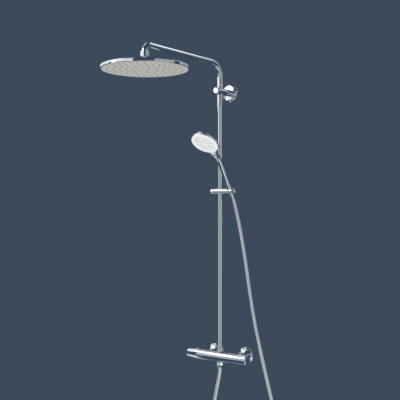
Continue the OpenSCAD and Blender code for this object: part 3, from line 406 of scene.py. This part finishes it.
def moulded(name, colour, rough, grain_scale, grain_depth, specks=0.06):
    """A moulded plastic or rubber with a fine surface grain and slightly uneven colour."""
    material, tree, shader = new_material(name, colour, 0.0, rough)
    place = add_node(tree, "ShaderNodeTexCoord")
    noise = add_node(tree, "ShaderNodeTexNoise")
    noise.inputs["Scale"].default_value = grain_scale
    noise.inputs["Detail"].default_value = 3
    link(tree, place.outputs["Object"], noise.inputs["Vector"])
    darker = tuple(c * (1 - specks) for c in colour)
    specked_colour = colour_between(tree, noise.outputs["Fac"], darker, colour)
    link(tree, specked_colour, shader.inputs["Base Color"])
    roughness = ramp_between(tree, noise.outputs["Fac"], rough * 0.85, rough * 1.15)
    link(tree, roughness, shader.inputs["Roughness"])
    bump = add_node(tree, "ShaderNodeBump")
    bump.inputs["Strength"].default_value = 0.3
    bump.inputs["Distance"].default_value = grain_depth
    link(tree, noise.outputs["Fac"], bump.inputs["Height"])
    link(tree, bump.outputs["Normal"], shader.inputs["Normal"])
    return material


white_nylon = moulded("white_nylon", (0.88, 0.87, 0.83), 0.45, 700, 0.0002)
dress(white_nylon, "check_cages", "check_poppet_hot", "check_poppet_cold", "diverter_drum")

black_rubber = moulded("black_rubber", (0.03, 0.03, 0.03), 0.6, 900, 0.0002, 0.2)
dress(black_rubber, "inlet_filters", "riser_seal", "arm_seals", "head_gasket")


# Handles: chromed, with pressed-in caps and a press button each. They are held on their spindles
# by one screw each, under the cap. The temperature handle has a row of printed ticks on top.
dress(chromed_brass, "temperature_handle", "volume_handle")

chromed_plastic = marked_metal("chromed_plastic", (0.84, 0.85, 0.87), 0.05, 0.15, 300, 0.3, 0.0004)
dress(chromed_plastic, "temperature_cap", "volume_cap", "eco_button", "stop_button")

TICK_COUNT = 13
TICK_STEP = math.radians(15)
TICK_SIZE = (0.004, 0.0006, 0.001)
TICK_SINK = 0.0004
TICK_PLACE = 0.1085
HANDLE_RADIUS = 0.022
MIXER_AXIS_Y = -0.070


def geometry_tree(name, *inputs):
    """An empty geometry tree with named inputs besides its geometry, and its two end nodes."""
    tree = bpy.data.node_groups.new(name, "GeometryNodeTree")
    tree.interface.new_socket("Geometry", in_out="INPUT", socket_type="NodeSocketGeometry")
    for label, kind in inputs:
        tree.interface.new_socket(label, in_out="INPUT", socket_type=kind)
    tree.interface.new_socket("Geometry", in_out="OUTPUT", socket_type="NodeSocketGeometry")
    return tree, add_node(tree, "NodeGroupInput"), add_node(tree, "NodeGroupOutput")


def grown(name, tree, start, values, material):
    """Runs a geometry tree on a starting mesh and keeps its result as a plain mesh piece."""
    seed = bpy.data.objects.new(name + "_start", start)
    bpy.context.scene.collection.objects.link(seed)
    modifier = seed.modifiers.new("grow", "NODES")
    modifier.node_group = tree
    for item in tree.interface.items_tree:
        if item.in_out == "INPUT" and item.name in values:
            modifier[item.identifier] = values[item.name]
    bpy.context.view_layer.update()
    depsgraph = bpy.context.evaluated_depsgraph_get()
    mesh = bpy.data.meshes.new_from_object(seed.evaluated_get(depsgraph))
    bpy.data.objects.remove(seed)
    mesh.name = name
    return link_mesh(name, mesh, material)


def placed_copies(tree, points, shape, paint, leave, turn=None):
    """Puts a painted copy of a shape on each point and hands the copies out of the tree."""
    placed = add_node(tree, "GeometryNodeInstanceOnPoints")
    link(tree, points, placed.inputs["Points"])
    link(tree, shape, placed.inputs["Instance"])
    if turn is not None:
        link(tree, turn, placed.inputs["Rotation"])
    made = add_node(tree, "GeometryNodeRealizeInstances")
    link(tree, placed.outputs["Instances"], made.inputs["Geometry"])
    painted = add_node(tree, "GeometryNodeSetMaterial")
    link(tree, made.outputs["Geometry"], painted.inputs["Geometry"])
    link(tree, paint, painted.inputs["Material"])
    link(tree, painted.outputs["Geometry"], leave.inputs["Geometry"])


# Ticks spread evenly to both sides of the handle's top, each one turned with its place
tick_ring, entry, leave = geometry_tree(
    "tick_ring", ("Count", "NodeSocketInt"), ("Step", "NodeSocketFloat"), ("Radius", "NodeSocketFloat"),
    ("Place", "NodeSocketFloat"), ("Tick", "NodeSocketVector"), ("Paint", "NodeSocketMaterial"),
)  # fmt: skip
dots = add_node(tick_ring, "GeometryNodeMeshLine")
link(tick_ring, entry.outputs["Count"], dots.inputs["Count"])
index = add_node(tick_ring, "GeometryNodeInputIndex")
gaps = value_of(tick_ring, "SUBTRACT", entry.outputs["Count"], 1)
middle = value_of(tick_ring, "MULTIPLY", gaps, 0.5)
angle = value_of(tick_ring, "SUBTRACT", index.outputs[0], middle)
angle = value_of(tick_ring, "MULTIPLY", angle, entry.outputs["Step"])
spot = add_node(tick_ring, "ShaderNodeCombineXYZ")
link(tick_ring, entry.outputs["Place"], spot.inputs["X"])
back = value_of(tick_ring, "MULTIPLY", value_of(tick_ring, "SINE", angle), entry.outputs["Radius"])
link(tick_ring, value_of(tick_ring, "MULTIPLY", back, -1), spot.inputs["Y"])
height = value_of(tick_ring, "MULTIPLY", value_of(tick_ring, "COSINE", angle), entry.outputs["Radius"])
link(tick_ring, height, spot.inputs["Z"])
moved = add_node(tick_ring, "GeometryNodeSetPosition")
link(tick_ring, dots.outputs["Mesh"], moved.inputs["Geometry"])
link(tick_ring, spot.outputs[0], moved.inputs["Position"])
turn = add_node(tick_ring, "ShaderNodeCombineXYZ")
link(tick_ring, angle, turn.inputs["X"])
tick = add_node(tick_ring, "GeometryNodeMeshCube")
link(tick_ring, entry.outputs["Tick"], tick.inputs["Size"])
placed_copies(tick_ring, moved.outputs["Geometry"], tick.outputs["Mesh"],
              entry.outputs["Paint"], leave, turn.outputs[0])  # fmt: skip

tick_paint = moulded("tick_paint", (0.05, 0.05, 0.06), 0.4, 400, 0.0001)
ticks = grown(
    "temperature_ticks", tick_ring, bpy.data.meshes.new("ticks"),
    {"Count": TICK_COUNT, "Step": TICK_STEP, "Radius": HANDLE_RADIUS - TICK_SINK, "Place": TICK_PLACE,
     "Tick": TICK_SIZE, "Paint": tick_paint}, tick_paint,
)  # fmt: skip
ticks.data.transform(Matrix.Translation((0, MIXER_AXIS_Y, 0)))
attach(ticks, "temperature_control")


# Riser and upper bracket: a drawn tube, chromed over its whole length, pushed through the
# bracket's bar. The flange is pressed sheet and the bar's front end is closed by a domed cap.
dress(chromed_brass, "riser_tube", "bracket_flange", "bracket_bar", "bracket_cap")


# Arm and ball joint: the bent, chromed tube turns in a nylon bush in the riser's top end. The nut
# on its front end carries the ball, and the collar below holds ball and seats in the shower.
dress(chromed_brass, "arm_tube", "ball_connector", "ball_retainer")
dress(white_nylon, "arm_bush", "flow_regulator", "upper_ball_seat", "lower_ball_seat")


# Overhead shower: a chromed shell over a satin spray plate, with an inner plate held in the shell
# by six hidden screws. The soft silicone nozzles of the mat stand through the spray plate in
# rings, so that lime can be rubbed off.
dress(chromed_brass, "head_shell")
dress(white_nylon, "distribution_plate")

spray_plate = moulded("grey_spray_plate", (0.70, 0.665, 0.60), 0.30, 260, 0.0002, 0.08)
dress(spray_plate, "spray_plate")

grey_silicone = moulded("grey_silicone", (0.30, 0.29, 0.28), 0.5, 600, 0.0002, 0.1)


def turned_piece(profile, sides):
    """A mesh turned around the Z axis from an outline of (radius, height), closed at its ends."""
    bm = bmesh.new()
    rings = [[bm.verts.new((r * math.cos(a), r * math.sin(a), z)) for a in
              (2 * math.pi * k / sides for k in range(sides))] for r, z in profile]  # fmt: skip
    for low, high in zip(rings, rings[1:] + rings[:1], strict=True):
        for k in range(sides):
            bm.faces.new((low[k], low[(k + 1) % sides], high[(k + 1) % sides], high[k]))
    bmesh.ops.remove_doubles(bm, verts=bm.verts, dist=1e-6)
    bmesh.ops.recalc_face_normals(bm, faces=bm.faces)
    mesh = bpy.data.meshes.new("turned")
    bm.to_mesh(mesh)
    return mesh


def disc(radius, low, high, sides):
    """A round disc between two heights."""
    return turned_piece([(0, low), (radius, low), (radius, high), (0, high)], sides)


# Nozzles in rings of 6, 12, 18 and so on around a middle: the starting mesh is one nozzle. Nozzle
# number n stands in ring (sqrt(12 n + 9) + 3) / 6, rounded down, a hair more than 9 being safe.
nozzle_rings, entry, leave = geometry_tree(
    "nozzle_rings", ("Count", "NodeSocketInt"), ("Pitch", "NodeSocketFloat"),
    ("Finish", "NodeSocketMaterial"),
)  # fmt: skip
spots = add_node(nozzle_rings, "GeometryNodeMeshLine")
link(nozzle_rings, entry.outputs["Count"], spots.inputs["Count"])
index = add_node(nozzle_rings, "GeometryNodeInputIndex")
under_root = value_of(nozzle_rings, "MULTIPLY_ADD", index.outputs[0], 12, 9.001)
ring = value_of(nozzle_rings, "ADD", value_of(nozzle_rings, "SQRT", under_root), 3)
ring = value_of(nozzle_rings, "FLOOR", value_of(nozzle_rings, "DIVIDE", ring, 6))
before = value_of(nozzle_rings, "MULTIPLY", ring, value_of(nozzle_rings, "SUBTRACT", ring, 1))
before = value_of(nozzle_rings, "MULTIPLY", before, 3)
place_in_ring = value_of(nozzle_rings, "SUBTRACT", index.outputs[0], before)
sixths = value_of(nozzle_rings, "MULTIPLY", place_in_ring, math.pi / 3)
angle = value_of(nozzle_rings, "DIVIDE", sixths, ring)
away = value_of(nozzle_rings, "MULTIPLY", ring, entry.outputs["Pitch"])
spot = add_node(nozzle_rings, "ShaderNodeCombineXYZ")
for operation, axis in (("COSINE", "X"), ("SINE", "Y")):
    share = value_of(nozzle_rings, operation, angle)
    link(nozzle_rings, value_of(nozzle_rings, "MULTIPLY", share, away), spot.inputs[axis])
moved = add_node(nozzle_rings, "GeometryNodeSetPosition")
link(nozzle_rings, spots.outputs["Mesh"], moved.inputs["Geometry"])
link(nozzle_rings, spot.outputs[0], moved.inputs["Position"])
placed_copies(nozzle_rings, moved.outputs["Geometry"], entry.outputs["Geometry"],
              entry.outputs["Finish"], leave)  # fmt: skip


def joined(name, first, second):
    """One mesh out of two."""
    bm = bmesh.new()
    bm.from_mesh(first)
    bm.from_mesh(second)
    mesh = bpy.data.meshes.new(name)
    bm.to_mesh(mesh)
    return mesh


# Heights count from the lower edge of the shell's rim, whose middle is at this place
HEAD_PLACE = Vector((0, -0.520, 1.0685))
RING_COUNT = 6
NOZZLE_COUNT = 3 * RING_COUNT * (RING_COUNT + 1)
NOZZLE_PITCH = 0.022
MAT_RADIUS = 0.1515
MAT_UNDERSIDE = 0.0024
MAT_TOP = 0.0044
nozzle = turned_piece([
    (0.0008, 0.003), (0.0022, 0.003), (0.0022, 0.0004), (0.0019, -0.0002), (0.0016, -0.0014),
    (0.0014, -0.0018), (0.0011, -0.0020), (0.0008, -0.0018),
], 14)  # fmt: skip
nozzles = grown(
    "overhead_nozzles", nozzle_rings, nozzle,
    {"Count": NOZZLE_COUNT, "Pitch": NOZZLE_PITCH, "Finish": grey_silicone}, grey_silicone,
)  # fmt: skip
mat = disc(MAT_RADIUS, MAT_UNDERSIDE, MAT_TOP, 96)
nozzles.data = joined("overhead_nozzles", nozzles.data, mat)
nozzles.data.materials.append(grey_silicone)
smooth_shading(nozzles.data, 35)
nozzles.data.transform(Matrix.Translation(HEAD_PLACE))
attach(nozzles, "overhead_shower")
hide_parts("nozzle_mat")


# Slider and holder: the slider's block runs on a nylon bush and is clamped by the fluted knob.
# The holder is a block in line with it, turning on a pin. Its slanting conical seat is open at
# the right end, so that the hose can be passed in.
dress(chromed_brass, "slider_body")
dress(white_nylon, "slider_bush")
dress(chromed_plastic, "clamp_knob", "shower_holder")


# Hand shower: a chromed plastic body, round in the grip and widening into a flat head, with a
# white spray face snapped into it, soft nozzles and a white turning ring around them.
HEAD_BEND = math.radians(23)
HAND_LENGTH = 0.240
GRIP_LENGTH = 0.135
HAND_HEAD_R = 0.0525
FACE_PLANE = 0.006
HEAD_BACK = 0.011
GRIP_R = 0.010
FACE_CUT_RADIUS = 0.070
RECESS_RADIUS = 0.0463
RECESS_FLOOR = 0.001
HAND_OFF = (HAND_LENGTH - GRIP_LENGTH) * math.tan(HEAD_BEND)
HEAD_REACH = HAND_OFF / math.sin(HEAD_BEND)
NECK = HEAD_REACH - 1.15 * HAND_HEAD_R
BODY_SIDES = 64
# Sections from the base to the crown: distance, bent, half width, front depth, back depth
body_sections = [
    (0.014, 0, 0.012, 0.012, 0.012), (0.026, 0, 0.011, 0.011, 0.011), (0.045, 0, GRIP_R, GRIP_R, GRIP_R),
    (0.080, 0, GRIP_R, GRIP_R, GRIP_R), (GRIP_LENGTH - 0.017, 0, GRIP_R, GRIP_R, GRIP_R),
    (NECK * 0.26, 1, 0.011, 0.009, 0.0105), (NECK * 0.6, 1, 0.014, 0.009, HEAD_BACK),
]  # fmt: skip
for i in range(4):
    reach = NECK + HAND_HEAD_R * 0.2 * i
    body_sections.append((reach, 1, HAND_HEAD_R * (0.38 + 0.165 * i), 0.0085, HEAD_BACK))
for degrees in range(72, 170, 15):
    a = math.radians(degrees)
    reach = HEAD_REACH - HAND_HEAD_R * math.cos(a)
    back = HEAD_BACK - 0.003 * math.cos(a) ** 2
    body_sections.append((reach, 1, HAND_HEAD_R * math.sin(a), 0.008, back))
body_sections.append((HEAD_REACH + HAND_HEAD_R * 0.995, 1, HAND_HEAD_R * 0.1, 0.003, 0.0055))


def body_ring(distance, bent, wide, front, back):
    """The points of one section, in the hand shower's own frame."""
    ring = []
    for k in range(BODY_SIDES):
        a = -2 * math.pi * k / BODY_SIDES
        across = wide * math.cos(a)
        deep = (front if math.sin(a) < 0 else back) * math.sin(a)
        if bent:
            y = -distance * math.sin(HEAD_BEND) + deep * math.cos(HEAD_BEND)
            z = GRIP_LENGTH + distance * math.cos(HEAD_BEND) + deep * math.sin(HEAD_BEND)
            ring.append(Vector((across, y, z)))
        else:
            ring.append(Vector((across, deep, distance)))
    return ring


def in_hand(point, along=0.0, tilt=0.0):
    """A point of the hand shower's frame, or of its spray head's frame, in the shared frame."""
    y, z = point[1], point[2]
    if tilt:
        y, z = y * math.cos(tilt) - z * math.sin(tilt), y * math.sin(tilt) + z * math.cos(tilt)
        y, z = y - HAND_OFF, z + along
    return SEAT + Vector((point[0], y * math.cos(HAND_LEAN) - z * math.sin(HAND_LEAN),
                          y * math.sin(HAND_LEAN) + z * math.cos(HAND_LEAN)))  # fmt: skip


rings = [body_ring(*s) for s in body_sections]
columns = [smooth_path([ring[k] for ring in rings], 5) for k in range(BODY_SIDES)]
bm = bmesh.new()
skin = [[bm.verts.new(in_hand(column[i])) for column in columns] for i in range(len(columns[0]))]
for low, high in zip(skin, skin[1:], strict=False):
    for k in range(BODY_SIDES):
        n = (k + 1) % BODY_SIDES
        bm.faces.new((low[k], low[n], high[n], high[k]))
bm.faces.new(list(reversed(skin[0])))
bm.faces.new(skin[-1])
bmesh.ops.recalc_face_normals(bm, faces=bm.faces)
body_mesh = bpy.data.meshes.new("handset_shell")
bm.to_mesh(body_mesh)
handset_shell = link_mesh("handset_shell", body_mesh, chromed_plastic, 30)


def on_spray_head(mesh):
    """Turns a mesh made around Z so that Z points out of the spray face, in its place."""
    for v in mesh.vertices:
        v.co = in_hand((v.co.x, -v.co.z, v.co.y), HAND_LENGTH, HEAD_BEND)
    return mesh


# The head is cut flat in front of the face plane and hollowed behind it for the spray face
face_cut = disc(FACE_CUT_RADIUS, FACE_PLANE, 0.06, 64)
recess_cut = disc(RECESS_RADIUS, RECESS_FLOOR, 0.02, 96)
for cut_mesh in (face_cut, recess_cut):
    cutter = bpy.data.objects.new("cutter", on_spray_head(cut_mesh))
    bpy.context.scene.collection.objects.link(cutter)
    modifier = handset_shell.modifiers.new("cut", "BOOLEAN")
    modifier.operation = "DIFFERENCE"
    modifier.solver = "EXACT"
    modifier.object = cutter
    bpy.context.view_layer.update()
    depsgraph = bpy.context.evaluated_depsgraph_get()
    cut_result = bpy.data.meshes.new_from_object(handset_shell.evaluated_get(depsgraph))
    handset_shell.modifiers.clear()
    handset_shell.data = cut_result
    bpy.data.objects.remove(cutter)
handset_shell.data.name = "handset_shell"
smooth_shading(handset_shell.data, 30)
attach(handset_shell, "handset")
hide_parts("handset_body")

white_face = moulded("white_face", (0.90, 0.91, 0.87), 0.28, 300, 0.0001, 0.03)
dress(white_face, "handset_face", "handset_ring")

HAND_RING_COUNT = 4
HAND_NOZZLE_COUNT = 3 * HAND_RING_COUNT * (HAND_RING_COUNT + 1)
HAND_NOZZLE_PITCH = 0.009
hand_nozzle = turned_piece([
    (0.0006, 0.0045), (0.0016, 0.0045), (0.0016, 0.0080), (0.0014, 0.0088),
    (0.0011, 0.0094), (0.0008, 0.0094), (0.0006, 0.0091),
], 12)  # fmt: skip
hand_nozzles = grown(
    "hand_nozzles", nozzle_rings, hand_nozzle,
    {"Count": HAND_NOZZLE_COUNT, "Pitch": HAND_NOZZLE_PITCH, "Finish": grey_silicone}, grey_silicone,
)  # fmt: skip
on_spray_head(hand_nozzles.data)
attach(hand_nozzles, "handset")
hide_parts("handset_nozzles")
